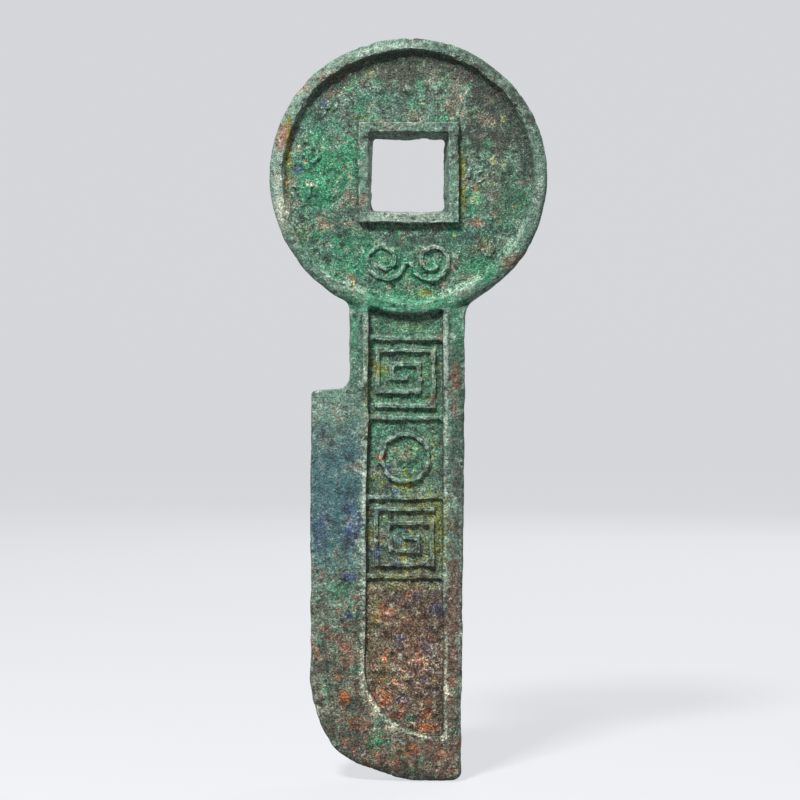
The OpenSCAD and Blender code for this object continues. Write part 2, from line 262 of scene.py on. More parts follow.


# Stains of the face, with patches of painted highlight among the pale and painted shadow among the
# soot, in millimetres: (x, z, half width, half height, density).
STAINS_AND_PAINTED_LIGHT = {
    "bronze": (
        (8.5, 66.6, 3.8, 4.6, 0.6), (9.6, 59.6, 2.4, 3.8, 0.6), (0.0, 71.4, 6.5, 1.7, 0.7),
        (-8.0, 68.8, 2.6, 1.6, 0.4), (-6.8, 56.6, 2.0, 2.4, 0.4), (3.6, 68.4, 2.6, 1.2, 0.4),
        (5.0, 34.0, 0.8, 7.0, 0.5), (-1.0, 44.0, 3.4, 2.4, 0.3),
    ),
    "sea_green": (
        (-6.5, 53.5, 4.0, 3.0, 0.8), (6.6, 53.6, 4.0, 3.0, 0.7), (0.0, 50.4, 6.0, 1.6, 0.8),
        (-9.6, 57.4, 2.0, 3.0, 0.6), (-9.0, 65.0, 2.4, 2.0, 0.5), (-5.4, 44.0, 0.9, 4.0, 0.7),
        (5.0, 40.0, 0.9, 8.0, 0.6),
    ),
    "malachite": (
        (-8.7, 61.2, 2.8, 3.4, 0.95), (-6.3, 62.8, 1.8, 2.2, 0.8), (0.7, 51.6, 5.0, 1.9, 0.7),
        (-3.9, 53.1, 3.0, 2.0, 0.55), (6.7, 51.8, 2.6, 1.6, 0.6), (-0.8, 48.5, 6.5, 1.3, 0.75),
        (10.4, 58.4, 1.6, 3.6, 0.5), (-6.4, 45.5, 1.5, 3.0, 0.5), (5.0, 46.0, 1.2, 2.4, 0.5),
        (-3.4, 4.2, 0.9, 0.9, 0.6), (-1.0, 2.7, 0.9, 0.6, 0.6), (0.4, 6.4, 0.7, 0.6, 0.6),
        (-7.0, 19.6, 1.6, 0.9, 0.5), (7.0, 57.2, 2.2, 1.6, 0.4), (1.6, 37.0, 2.4, 1.2, 0.4),
    ),
    "rust": (
        (-11.6, 69.9, 1.3, 0.9, 0.9), (-12.6, 64.7, 0.9, 1.3, 0.8), (-7.6, 70.8, 1.4, 0.6, 0.6),
        (0.6, 14.0, 3.6, 6.2, 0.55), (4.6, 17.6, 0.8, 6.0, 0.55), (4.7, 40.4, 0.6, 1.6, 0.7),
        (4.7, 37.6, 0.5, 0.8, 0.6), (-6.2, 13.3, 1.0, 1.8, 0.6), (-8.2, 34.0, 1.4, 1.0, 0.3),
        (11.2, 52.3, 1.8, 1.0, 0.6), (7.6, 53.8, 1.6, 1.0, 0.5), (8.5, 63.5, 2.0, 2.4, 0.2),
        (-2.2, 2.4, 2.4, 1.0, 0.45), (3.0, 3.0, 1.6, 1.4, 0.45), (-4.6, 58.4, 0.6, 0.7, 0.6),
    ),
    "orange": (
        (-6.4, 8.5, 0.5, 0.8, 0.95), (1.8, 5.5, 1.1, 0.4, 0.9), (-2.2, 16.9, 1.6, 1.3, 0.5),
        (-2.4, 8.4, 1.1, 1.2, 0.6), (-5.6, 6.0, 0.9, 0.7, 0.5), (0.2, 3.3, 1.0, 0.7, 0.5),
        (3.6, 2.8, 0.7, 0.8, 0.4), (-2.6, 32.6, 0.8, 0.5, 0.7), (0.6, 12.0, 2.6, 4.0, 0.22),
    ),
    "azurite": (
        (-11.2, 61.6, 0.6, 0.5, 0.7), (-8.4, 68.4, 0.6, 0.5, 0.6), (-5.9, 20.6, 0.7, 0.5, 0.6),
        (-5.7, 25.9, 0.9, 2.2, 0.6), (-8.9, 25.4, 1.0, 2.6, 0.45), (-3.5, 23.4, 0.8, 1.1, 0.8),
        (-0.8, 21.9, 0.7, 0.6, 0.6), (-2.2, 31.4, 0.9, 1.6, 0.5), (-0.5, 8.2, 0.8, 0.5, 0.7),
        (2.9, 17.3, 0.8, 0.8, 0.6), (-5.9, 16.8, 0.5, 0.5, 0.7), (0.8, 18.6, 0.7, 0.7, 0.5),
        (2.2, 13.0, 1.0, 1.2, 0.45), (6.0, 55.0, 0.8, 0.8, 0.4), (1.0, 29.0, 0.8, 0.6, 0.5),
    ),
    "yellow": (
        (1.7, 27.4, 2.6, 2.6, 0.45), (3.1, 24.0, 0.8, 3.4, 0.5), (0.0, 29.8, 1.0, 0.7, 0.7),
        (-2.9, 41.4, 1.0, 0.9, 0.75), (-1.4, 20.2, 2.0, 1.0, 0.4), (1.7, 49.2, 1.0, 0.3, 0.8),
        (2.4, 33.4, 1.0, 3.0, 0.3), (-2.6, 11.5, 1.0, 3.0, 0.35), (5.4, 60.8, 0.3, 3.4, 0.7),
        (-12.1, 63.0, 0.35, 4.0, 0.5), (-3.4, 17.0, 0.6, 2.4, 0.4),
    ),
    "olive": (
        (-12.0, 62.6, 0.5, 4.6, 0.8), (-10.6, 55.2, 0.9, 1.1, 0.7), (-6.2, 51.4, 0.9, 0.9, 0.6),
        (5.6, 59.8, 0.5, 3.2, 0.8), (-4.7, 66.9, 1.2, 0.5, 0.6), (-4.0, 40.0, 0.5, 6.0, 0.6),
        (2.0, 41.6, 1.4, 3.6, 0.4), (0.0, 45.9, 3.0, 0.8, 0.4), (-3.9, 26.0, 0.4, 10.0, 0.4),
        (-3.6, 14.0, 0.5, 3.0, 0.5), (-3.0, 64.0, 0.4, 2.0, 0.5),
    ),
    "cream": (
        (-12.7, 57.6, 0.9, 1.7, 0.6), (-12.9, 60.4, 0.6, 1.0, 0.4), (-0.4, 57.0, 4.0, 0.5, 0.25),
        (-10.6, 70.4, 1.0, 1.4, 0.3), (-4.5, 10.6, 0.4, 2.6, 0.6), (-3.3, 7.1, 0.7, 0.7, 0.6),
        (-1.3, 5.4, 1.2, 0.4, 0.6), (2.4, 13.0, 1.6, 3.6, 0.25), (-1.0, 10.0, 1.6, 2.4, 0.25),
    ),
    # Pale bloom, with painted highlights on the frame's lower bar, the rim's lower inner wall and
    # the spine's right edge.
    "pale": (
        (-13.0, 61.0, 0.9, 6.5, 0.55), (-0.2, 56.7, 5.0, 0.7, 0.7), (-11.0, 69.6, 1.4, 2.0, 0.4),
        (-5.4, 45.0, 0.9, 4.0, 0.25), (5.35, 14.0, 0.3, 14.0, 1.0), (0.0, 48.8, 7.0, 0.7, 0.4),
        (-7.6, 37.4, 2.0, 1.6, 0.4), (-4.4, 13.0, 0.4, 6.0, 0.5),
    ),
    # Dark deposits, with painted shadows: partly under the rim's top, on the hole's top and left
    # inner walls, under the frame's lower bar, under the rim at the panel's top and on the panel's
    # left inner wall.
    "soot_and_shade": (
        (5.8, 72.0, 4.6, 1.6, 0.55), (8.6, 66.8, 4.2, 4.6, 0.6), (0.0, 71.6, 6.0, 1.0, 0.5),
        (9.6, 60.0, 2.6, 4.0, 0.25), (-5.6, 57.0, 1.4, 2.4, 0.35),
        (-5.3, 7.7, 1.3, 0.7, 0.6), (0.0, 64.9, 4.4, 0.4, 1.5), (-3.8, 61.4, 0.4, 3.4, 0.4),
        (0.0, 0.4, 9.0, 1.3, 0.65), (-6.6, 4.0, 3.0, 2.0, 0.35),
        (5.0, 36.0, 0.9, 9.0, 0.42), (4.9, 22.0, 0.9, 6.0, 0.3), (0.0, 46.6, 3.6, 0.8, 0.4),
        (0.0, 54.6, 4.6, 0.7, 0.45), (-3.9, 36.0, 0.25, 8.0, 0.4), (2.4, 16.4, 1.2, 1.4, 0.35),
    ),
}


# Depth and half thickness of the blots of stain and of painted light and shade, and where they
# start and are full.
BLOT_Y, BLOT_DEPTH, BLOT_EDGE = -1.8, 1.7, (1.5, 0.5)
# Spread and soft edge of the grains of colour, and how well they cover.
GRAIN_SPREAD, GRAIN_EDGE, GRAIN_COVER = 1.8, (0.2, 0.8), 0.82
# Where parts of the patina start and where they are full, in millimetres of height.
HEAD_BAND, LOWER_BAND, FOOT_BAND = (46.0, 49.0), (38.0, 6.0), (27.0, 15.0)
TEAL_TOP, TEAL_END = (39.0, 31.0), (18.0, 25.0)
UPPER_PANEL, LOWER_PANEL, CREAM_LINE = (29.0, 33.0), (21.5, 18.0), (18.0, 11.0)
# The same across the knife, and through its thickness.
FLAT_BAND, FRONT_HALF, FLATS = (-4.0, -6.0), (0.0, -0.5), (1.3, 1.7)
# How far inside the rim's edge its lower wall gets a painted highlight, and its upper wall painted
# shade, in millimetres.
PALE_WALL, SHADED_WALL = 1.75, 2.1


def blot_mask(graph, place, wobble, stains):
    """Density of one kind of blot, of stain or of painted light and shade, with uneven edges, on
    the face only.
    """
    blots = []
    for x, z, half_width, half_height, density in stains:
        away = graph.vector("SUBTRACT", place, (x, BLOT_Y, z))
        away = graph.vector("DIVIDE", away, (half_width, BLOT_DEPTH, half_height))
        reach = graph.vector("LENGTH", away, out="Value") + wobble
        blots.append(graph.step(reach, *BLOT_EDGE, 0.0, density))
    return graph.highest(blots)


def sway(noise, reach):
    """Noise about its middle value, as a shift to and fro."""
    return (noise - 0.5) * reach


def granular(graph, density, pick):
    """Breaks a density into grains: coloured where their own pick is low enough."""
    return graph.step(density - sway(pick, GRAIN_SPREAD), *GRAIN_EDGE)


def patina(name):
    """Bronze under a granular patina that runs on from piece to piece, with painted highlights and
    painted shade.
    """
    colours = bpy.context.scene.patina_colours
    tint = {key: tuple(getattr(colours, key)) for key in PatinaColours.__annotations__}
    material = bpy.data.materials.new(name)
    graph = Graph(material)
    step, mix, noise = graph.step, graph.mix, graph.noise
    place = graph.vector("MULTIPLY", graph.node("ShaderNodeTexCoord", out="Object"), (1 / MM,) * 3)
    elsewhere = graph.vector("ADD", place, (31.0, 17.0, 5.0))
    x, y, z = graph.channels(place)
    bend, crest, sunk, line = (graph.attribute(key) for key in ("bend", "crest", "sunk", "line"))

    drift = noise(place, grain=7.0, detail=2.0)
    blotch = noise(place, grain=2.1, detail=6.0, roughness=0.65)
    patches = graph.channels(noise(elsewhere, grain=1.5, detail=5.0, roughness=0.68, out=1))
    mottle = noise(place, grain=0.6, detail=4.0, roughness=0.65)
    sand = noise(place, grain=0.16, detail=2.0, roughness=0.7)
    wrinkle = abs(noise(elsewhere, grain=0.42, detail=3.0, roughness=0.6) - 0.5)
    wobble = sway(blotch, 2.6) + sway(mottle, 2.2)
    picks = (
        graph.channels(noise(place, grain=0.3, detail=3.0, roughness=0.7, out=1))
        + graph.channels(noise(elsewhere, grain=0.18, detail=2.0, roughness=0.6, out=1)))

    def spots(value, start, full, density):
        return step(value, start, full, 0.0, density)

    head = step(z, *HEAD_BAND)
    lower = step(z + sway(drift, 20.0) + sway(blotch, 40.0), *LOWER_BAND)
    foot = step(z + sway(drift, 20.0) + sway(blotch, 20.0), *FOOT_BAND)
    flat = step(x + sway(blotch, 3.0), *FLAT_BAND) * (1 - sunk)
    teal = step(z + sway(blotch, 14.0), *TEAL_TOP) * step(z + sway(patches[0], 14.0), *TEAL_END)
    upper_panel = sunk * step(z, *UPPER_PANEL) * (1 - head)
    lower_panel = sunk * step(z, *LOWER_PANEL)
    middle_panel = sunk * step(z, *reversed(UPPER_PANEL)) * step(z, *reversed(LOWER_PANEL))
    bare_foot = foot * (1 - lower_panel)
    head_field = head * sunk
    front = step(y, *FRONT_HALF)
    radius, height = head_circle()
    from_axis = graph.vector("LENGTH", graph.vector(
        "MULTIPLY", graph.vector("SUBTRACT", place, (0, 0, height)), (1, 0, 1)), out="Value")
    # Painted highlight: the rim's lower inner wall, which faces the key light, is made paler, and
    # it also takes malachite.
    lit_lower_wall = (
        step(abs(from_axis - (radius - PALE_WALL)), 0.6, 0.2)
        * step(z, height - 2.0, height - 6.0) * front)
    # Painted shade: the rim's upper inner wall, which faces away from the key light, is made
    # darker.
    painted_shade_wall = (
        step(abs(from_axis - (radius - SHADED_WALL)), 1.2, 0.4)
        * step(z + x * 0.4, height + 1.5, height + 6.0) * front)

    ground = mix(
        step(patches[0], 0.38, 0.6) * (0.3 + sunk * 0.5), tint["verdigris"], tint["sea_green"])
    ground = mix(teal * (0.2 + flat * 0.75), ground, tint["teal"])
    brown = granular(graph, lower * (0.9 - flat * 0.25), picks[2])
    ground = mix(brown * 0.9, ground, tint["earth"])
    bloom = noise(elsewhere, grain=3.1, detail=4.0, roughness=0.6)
    bloom = spots(bloom, 0.45, 0.66, 0.7) * step(abs(y), *FLATS)
    general = {
        "bronze": spots(blotch, 0.47, 0.62, 0.9) * (0.55 + sunk * 0.45),
        # The pale on the rim's lower inner wall is a painted highlight.
        "pale": bloom * (1 - lower * 0.5) + lit_lower_wall * 0.75 + line * 0.6,
        "olive": upper_panel * 0.15 + spots(crest, -0.2, -0.8, 0.3),
        "sea_green": bare_foot * spots(patches[2], 0.5, 0.62, 0.8) + upper_panel * 0.5,
        "malachite": spots(patches[0] + sway(drift, 0.5), 0.52, 0.66, 0.75)
        * (0.35 + head_field * 0.5) * (1 - lower * 0.7) + lit_lower_wall * 0.35 + upper_panel * 0.3,
        "rust": spots(blotch + sway(patches[1], 0.6), 0.56, 0.72, 0.45)
        + bare_foot * spots(patches[1], 0.5, 0.62, 0.8) + lower_panel * 0.35
        + head_field * spots(patches[2] + sway(mottle, 0.8), 0.6, 0.7, 0.5),
        "azurite": (lower_panel + middle_panel) * spots(patches[2], 0.55, 0.66, 0.6)
        + head_field * spots(patches[0] - sway(mottle, 0.8), 0.64, 0.72, 0.5),
        "orange": lower_panel * spots(patches[0], 0.48, 0.62, 0.5)
        + bare_foot * spots(patches[0], 0.6, 0.7, 0.6),
        "yellow": middle_panel * spots(patches[1], 0.42, 0.6, 0.6)
        + upper_panel * spots(patches[1], 0.45, 0.65, 0.35)
        + lower_panel * spots(mottle, 0.48, 0.66, 0.5)
        + head_field * spots(patches[1] + sway(mottle, 0.8), 0.55, 0.72, 0.5),
        "cream": spots(patches[2] + (mottle - 0.5), 0.5, 0.8, 0.3)
        + line * step(z, *CREAM_LINE) * 0.55,
    }
    for number, (kind, spread) in enumerate(general.items()):
        density = graph.highest((blot_mask(graph, place, wobble, STAINS_AND_PAINTED_LIGHT[kind]), spread))
        grains = granular(graph, density, picks[(number * 5 + 2) % len(picks)])
        ground = mix(grains * GRAIN_COVER, ground, tint[kind])

    # Soot, dark patina and painted shade: painted shade in the hollows and on the rim's upper inner
    # wall, and darker in the fine pits between the grains, on the lower panel and in random spots.
    dark = graph.highest((
        blot_mask(graph, place, wobble, STAINS_AND_PAINTED_LIGHT["soot_and_shade"]),
        spots(crest, -0.1, -0.9, 0.45), painted_shade_wall * 0.7, lower_panel * 0.14,
        spots(bend, -0.15, -0.8, 0.7), spots(mottle + (patches[0] - 0.5), 0.46, 0.26, 0.6)))
    ground = mix(dark, ground, tint["soot_and_shade"])
    # Paler on raised bumps and ridges, partly wear and partly painted highlight, and in random pale
    # specks of the grain.
    wear_and_highlights = (
        step(bend, 0.2, 0.9) * 0.4,
        step(crest + sway(mottle, 1.2), 0.2, 0.9) * 0.5,
        step(picks[5], 0.58, 0.76) * (0.28 - lower * 0.14))
    for worn in wear_and_highlights:
        ground = mix(worn, ground, tint["pale"])
    light = (
        step(sand, 0.25, 0.75, 0.35, 1.65) * step(wrinkle, 0.0, 0.08, 0.75, 1.05)
        * step(picks[3], 0.3, 0.7, 0.72, 1.28) * step(mottle, 0.3, 0.7, 0.68, 1.32)
        * step(blotch, 0.35, 0.65, 0.74, 1.26) * step(picks[5], 0.5, 0.76, 0.94, 1.45))
    light = graph.maths("POWER", light, 0.75 + sunk * 0.5 + lower * 0.6)
    grey = graph.node("ShaderNodeCombineXYZ", dict.fromkeys(range(3), light))
    ground = mix(1.0, ground, grey, "MULTIPLY")

    relief = sand * 0.9 + mottle * 0.8 + step(wrinkle, 0.0, 0.12) * 0.5
    bump = graph.node("ShaderNodeBump", {"Strength": 1.0, "Distance": 0.09 * MM, "Height": relief})
    graph.surface({
        "Base Color": ground, "Roughness": step(sand, 0.3, 0.7, 0.8, 0.5),
        "Specular IOR Level": 0.4, "Normal": bump})
    return material


def finish_of(slot):
    """The material of one slot. The patina runs on, so each slot has a copy of the first."""
    name = slot + "_finish"
    made = [material for material in bpy.data.materials if material.name.endswith("_finish")]
    if name not in bpy.data.materials:
        material = made[0].copy() if made else patina(name)
        material.name = name
    return bpy.data.materials[name]


def link(thing):
    """Puts an object into the scene, and gives it back."""
    bpy.context.collection.objects.link(thing)
    return thing


def mesh_from(bm, name):
    """Turns a bmesh into a mesh, and frees it."""
    mesh = bpy.data.meshes.new(name)
    bm.to_mesh(mesh)
    bm.free()
    return mesh


def applied(thing):
    """The mesh of an object with its modifiers applied. The object is removed."""
    depsgraph = bpy.context.evaluated_depsgraph_get()
    mesh = bpy.data.meshes.new_from_object(thing.evaluated_get(depsgraph))
    bpy.data.objects.remove(thing)
    return mesh


def verts_in(items):
    """The vertices among some elements of a bmesh."""
    return [item for item in items if isinstance(item, bmesh.types.BMVert)]


def merged_copy(*nodes):
    """The solids of some CAD nodes in one bmesh, in millimetres."""
    bm = bmesh.new()
    for node in nodes:
        bm.from_mesh(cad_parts[node].data)
    bmesh.ops.scale(bm, vec=(1 / MM,) * 3, verts=bm.verts)
    bmesh.ops.remove_doubles(bm, verts=bm.verts, dist=1e-5)
    return bm


def prism(node):
    """A CAD node of raised ornament, stretched forwards from the relief's floor, as a tool."""
    bm = merged_copy(node)
    low, high = box_mm(node)
    middle = (low[1] + high[1]) / 2
    for vert in bm.verts:
        vert.co.y = -TOOL_REACH if vert.co.y < middle else -RELIEF_FLOOR
    return mesh_from(bm, node + "_tool")


def islands(*nodes):
    """The separate solids of some CAD nodes, each as a list of (x, z) in millimetres."""
    bm = merged_copy(*nodes)
    left = set(bm.verts)
    found = []
    while left:
        island, waiting = set(), [next(vert for vert in bm.verts if vert in left)]
        while waiting:
            vert = waiting.pop()
            if vert not in island:
                island.add(vert)
                waiting += [edge.other_vert(vert) for edge in vert.link_edges]
        left -= island
        found.append(sorted({(round(vert.co.x, 5), round(vert.co.z, 5)) for vert in island}))
    bm.free()
    return found


def hull(*nodes, back=TOOL_REACH, together=False):
    """CAD solids as convex tools, or as one tool together, from the front to back."""
    whole = bmesh.new()
    outlines = islands(*nodes)
    if together:
        outlines = [sorted({spot for outline in outlines for spot in outline})]
    for island in outlines:
        part = bmesh.new()
        for x, z in island:
            part.verts.new((x, -TOOL_REACH, z))
            part.verts.new((x, back, z))
        made = bmesh.ops.convex_hull(part, input=part.verts)
        spare = {vert for key in ("geom_interior", "geom_unused") for vert in made[key]}
        bmesh.ops.delete(part, geom=verts_in(spare), context="VERTS")
        solid = mesh_from(part, "island")
        whole.from_mesh(solid)
        bpy.data.meshes.remove(solid)
    return mesh_from(whole, nodes[0] + "_tool")


def draw_in(tool, inset):
    """Brings the sides of a tool in, so that it cuts clear of a wall."""
    points = np.array([vert.co for vert in tool.vertices])
    low, high = points.min(axis=0), points.max(axis=0)
    middle = (low + high) / 2
    scale = 1 - 2 * np.array((inset, 0, inset)) / (high - low)
    tool.vertices.foreach_set("co", (middle + (points - middle) * scale).ravel())
    return tool


def block(x0, x1, z0, z1):
    """A box through the thickness, as a tool."""
    bm = bmesh.new()
    bmesh.ops.create_cube(bm, size=1.0)
    bmesh.ops.scale(bm, vec=(x1 - x0, 2 * TOOL_REACH, z1 - z0), verts=bm.verts)
    bmesh.ops.translate(bm, vec=((x0 + x1) / 2, 0, (z0 + z1) / 2), verts=bm.verts)
    return mesh_from(bm, "block_tool")


def disc(radius, height):
    """A round disc through the thickness, as a tool."""
    bm = bmesh.new()
    bmesh.ops.create_cone(
        bm, cap_ends=True, segments=240, radius1=radius, radius2=radius, depth=2 * TOOL_REACH,
        matrix=Matrix.Translation((0, 0, height)) @ Matrix.Rotation(math.pi / 2, 4, "X"))
    return mesh_from(bm, "disc_tool")


def mark_caps(mesh, value):
    """Marks the faces of a mesh as cut faces (1) or as faces of the casting (0)."""
    caps = mesh.attributes.new("cap", "INT", "FACE")
    caps.data.foreach_set("value", np.full(len(mesh.polygons), value, dtype=np.int32))


def cut(mesh, tool, operation):
    """The part of a mesh inside a tool (INTERSECT) or outside it (DIFFERENCE)."""
    if "cap" not in tool.attributes:
        mark_caps(tool, 1)
    body = link(bpy.data.objects.new("body", mesh))
    cutter = link(bpy.data.objects.new("cutter", tool))
    parting = body.modifiers.new("parting", "BOOLEAN")
    parting.operation = operation
    parting.solver = "MANIFOLD"
    parting.object = cutter
    result = applied(body)
    bpy.data.objects.remove(cutter)
    if not result.polygons:
        raise RuntimeError("a tool leaves nothing of the casting")
    return result


def split(mesh, tool):
    """A mesh parted by a tool: the part inside it, and the rest."""
    return cut(mesh, tool, "INTERSECT"), cut(mesh, tool, "DIFFERENCE")


def drop_flaps(bm):
    """Removes pairs of faces that lie on each other and enclose nothing."""
    pairs = {}
    for face in bm.faces:
        pairs.setdefault(frozenset(face.verts), []).append(face)
    flaps = [face for faces in pairs.values() if len(faces) == 2 for face in faces]
    bmesh.ops.delete(bm, geom=flaps, context="FACES")


def mend_touches(bm, most=40):
    """Parts two sheets that share a short edge after a cut, by closing it to a point."""
    drop_flaps(bm)
    for _ in range(most):
        shared = next((edge for edge in bm.edges if len(edge.link_faces) > 2), None)
        if shared is None:
            break
        kept, gone = shared.verts
        beside = {}
        for vert, other in ((kept, gone), (gone, kept)):
            for face in vert.link_faces:
                if other not in face.verts:
                    beside.setdefault(frozenset({*face.verts} - {vert}), []).append(face)
        closing = [face for faces in beside.values() if len(faces) == 2 for face in faces]
        bmesh.ops.delete(bm, geom=closing, context="FACES_ONLY")
        bmesh.ops.weld_verts(bm, targetmap={gone: kept})
    bare = [edge for edge in bm.edges if not edge.link_faces]
    bmesh.ops.delete(bm, geom=bare, context="EDGES")
    drop_flaps(bm)
    stray = [face for face in bm.faces if all(edge.is_boundary for edge in face.edges)]
    bmesh.ops.delete(bm, geom=stray, context="FACES")
    bmesh.ops.holes_fill(bm, edges=[edge for edge in bm.edges if edge.is_boundary])


def place_piece(node, mesh):
    """Turns a cut mesh into the finished piece for a CAD node."""
    bm = bmesh.new()
    bm.from_mesh(mesh)
    cap = bm.faces.layers.int.get("cap")
    big = [face for face in bm.faces if len(face.verts) > 4]
    bmesh.ops.triangulate(bm, faces=big)
    mend_touches(bm)
    for face in bm.faces:
        face.smooth = True
    for edge in bm.edges:
        edge.smooth = len({face[cap] for face in edge.link_faces}) == 1
    bmesh.ops.scale(bm, vec=(MM,) * 3, verts=bm.verts)
    piece = link(bpy.data.objects.new(node + "_cast", mesh_from(bm, node + "_cast")))
    slot = SLOT_OF_NODE[node]
    piece.data.materials.append(finish_of(slot))
    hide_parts(node)
    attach(piece, "root")


def cloud(points, grain, seed):
    """Smooth random heights from 0 to 1, with features about grain millimetres across."""
    low = points.min(axis=0) / grain - 1
    place = points / grain - low
    cell = np.floor(place).astype(int)
    along = place - cell
    along = along * along * (3 - 2 * along)
    lattice = np.random.RandomState(seed).rand(*(cell.max(axis=0) + 2))
    height = np.zeros(len(points))
    for corner in np.ndindex(2, 2, 2):
        at = cell + corner
        share = np.prod(np.where(corner, along, 1 - along), axis=1)
        height += share * lattice[at[:, 0], at[:, 1], at[:, 2]]
    return height


def clouds(points, layers, shift=0):
    """Clouds on each other. Each layer is a share, a size in millimetres and a seed."""
    return sum(share * cloud(points, grain, seed + shift) for share, grain, seed in layers)


def ease(value, low, high):
    """A smooth step from 0 at low to 1 at high."""
    t = np.clip((value - low) / (high - low), 0, 1)
    return t * t * (3 - 2 * t)


def lift(offsets, normals):
    """How far each offset goes along its own normal."""
    return np.einsum("ij,ij->i", offsets, normals)


class Skin:
    """Points of the casting's surface, with the means to soften and dent them."""

    def __init__(self, mesh):
        self.mesh = mesh
        self.count = len(mesh.vertices)
        self.points = np.empty(3 * self.count)
        mesh.vertices.foreach_get("co", self.points)
        self.points = self.points.reshape(-1, 3)
        edges = np.empty(2 * len(mesh.edges), dtype=np.int64)
        mesh.edges.foreach_get("vertices", edges)
        self.ends = edges.reshape(-1, 2).T
        self.valence = np.bincount(edges, minlength=self.count)

    def average(self, values):
        """Mean of each point's neighbours."""
        a, b = self.ends
        total = np.bincount(a, values[b], self.count) + np.bincount(b, values[a], self.count)
        return total / self.valence

    def soften(self, points, rounds, weight=1.0):
        """Moves points half way to the mean of their neighbours, for some rounds."""
        for _ in range(rounds):
            near = np.stack([self.average(points[:, axis]) for axis in range(3)], axis=1)
            points = points + 0.5 * np.reshape(weight, (-1, 1)) * (near - points)
        return points

    def normals(self, points):
        """Moves the mesh's points to the given places, and gives its normals there."""
        self.mesh.vertices.foreach_set("co", points.ravel())
        self.mesh.update()
        normals = np.empty(3 * self.count, dtype=np.float32)
        self.mesh.vertex_normals.foreach_get("vector", normals)
        return normals.reshape(-1, 3).astype(float)

    def keep(self, name, values):
        """Stores one number at each point, for the patina."""
        self.mesh.attributes.new(name, "FLOAT", "POINT").data.foreach_set(
            "value", values.astype(np.float32))


# The saddles' reach in and out from the head's edge, inset from sides and overlap.
SADDLE_REACH, SADDLE_INSET, SADDLE_OVERLAP = (-0.9, 0.5), 0.3, 0.9


def neck_saddle(left, right):
    """A bent bar that fills the groove between the round rim and one side of the neck."""
    radius, height = head_circle()
    depth = box_mm("neck_rim")[1][1]
    bm = bmesh.new()
    start = math.asin(left / radius)
    sweep = math.asin(right / radius) - start
    inner, outer = SADDLE_REACH
    ring = []
    for reach, y in ((inner, -depth), (outer, -depth), (outer, depth), (inner, depth)):
        arm = radius + reach
        ring.append(bm.verts.new((arm * math.sin(start), y, height - arm * math.cos(start))))
    face = bm.faces.new(ring)
    bmesh.ops.spin(
        bm, geom=[face, *face.edges, *face.verts], cent=(0, 0, height), axis=(0, 1, 0),
        angle=-sweep, steps=12)
    bmesh.ops.recalc_face_normals(bm, faces=bm.faces)
    return mesh_from(bm, "saddle")


def raw_casting(grid):
    """All solids of the CAD model fused into one even mesh."""
    bm = merged_copy(*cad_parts)
    border_low, border_high = box_mm("panel_border")
    neck_left, spine_right = box_mm("neck_rim")[0][0], box_mm("spine_rim")[1][0]
    for left, right in (
            (neck_left + SADDLE_INSET, border_low[0] + SADDLE_OVERLAP),
            (border_high[0] - SADDLE_INSET, spine_right - SADDLE_INSET)):
        bm.from_mesh(neck_saddle(left, right))
    body = link(bpy.data.objects.new("casting", mesh_from(bm, "casting")))
    fuse = body.modifiers.new("fuse", "REMESH")
    fuse.mode = "VOXEL"
    fuse.voxel_size = grid
    fuse.adaptivity = 0
    return applied(body)


def dents(points, chosen, radii, depths):
    """Depth of round dents about the chosen points, at each point."""
    tree = kdtree.KDTree(len(points))
    for index, point in enumerate(points):
        tree.insert(point, index)
    tree.balance()
    depth = np.zeros(len(points))
    for index, radius, deep in zip(chosen, radii, depths):
        for _, other, away in tree.find_range(points[index], radius):
            depth[other] = max(depth[other], deep * (1 - (away / radius) ** 2))
    return depth


def reach_outside(points, *nodes):
    """Distance outside the sides of some CAD nodes, or less than zero inside them."""
    tool = hull(*nodes, together=True)
    sides = [face for face in tool.polygons if abs(face.normal.y) < 0.5 and face.normal.z < 0.5]
    return np.max([
        face.normal.x * (points[:, 0] - face.center.x)
        + face.normal.z * (points[:, 2] - face.center.z)
        for face in sides], axis=0)


# Depth of the flats beside the sunk fields, and width over which shapes blend, in millimetres.
FLAT_DEPTH, BLEND = 1.75, 1.5
# The fine line's distance outside the panel, and its half width.
LINE_PLACE, LINE_WIDTH = 0.26, 0.28
# Lumps of the silt, and flakes and thickness of the crust.
SILT_LUMPS, CRUST_FLAKES, CRUST_THICKNESS = 0.3, 0.4, 0.2
# Width and fall of the round edges, and how near they come to a quarter circle.
RING_ROUND, RING_FALL, BLADE_ROUND, BLADE_FALL, ROUNDNESS = 1.3, 0.95, 0.9, 0.6, 0.97
# Half width and top of the neck, where the head's edge isn't rounded.
NECK_HALF, NECK_TOP = 5.8, 50.0
# The worn foot: its ends and middle across the knife, its lift, its top and how it fades.
FOOT_LEFT, FOOT_MIDDLE, FOOT_RIGHT = -8.5, -2.4, 1.5
FOOT_LIFT, FOOT_TOP, FOOT_FADE = 0.7, 6.0, 5.0


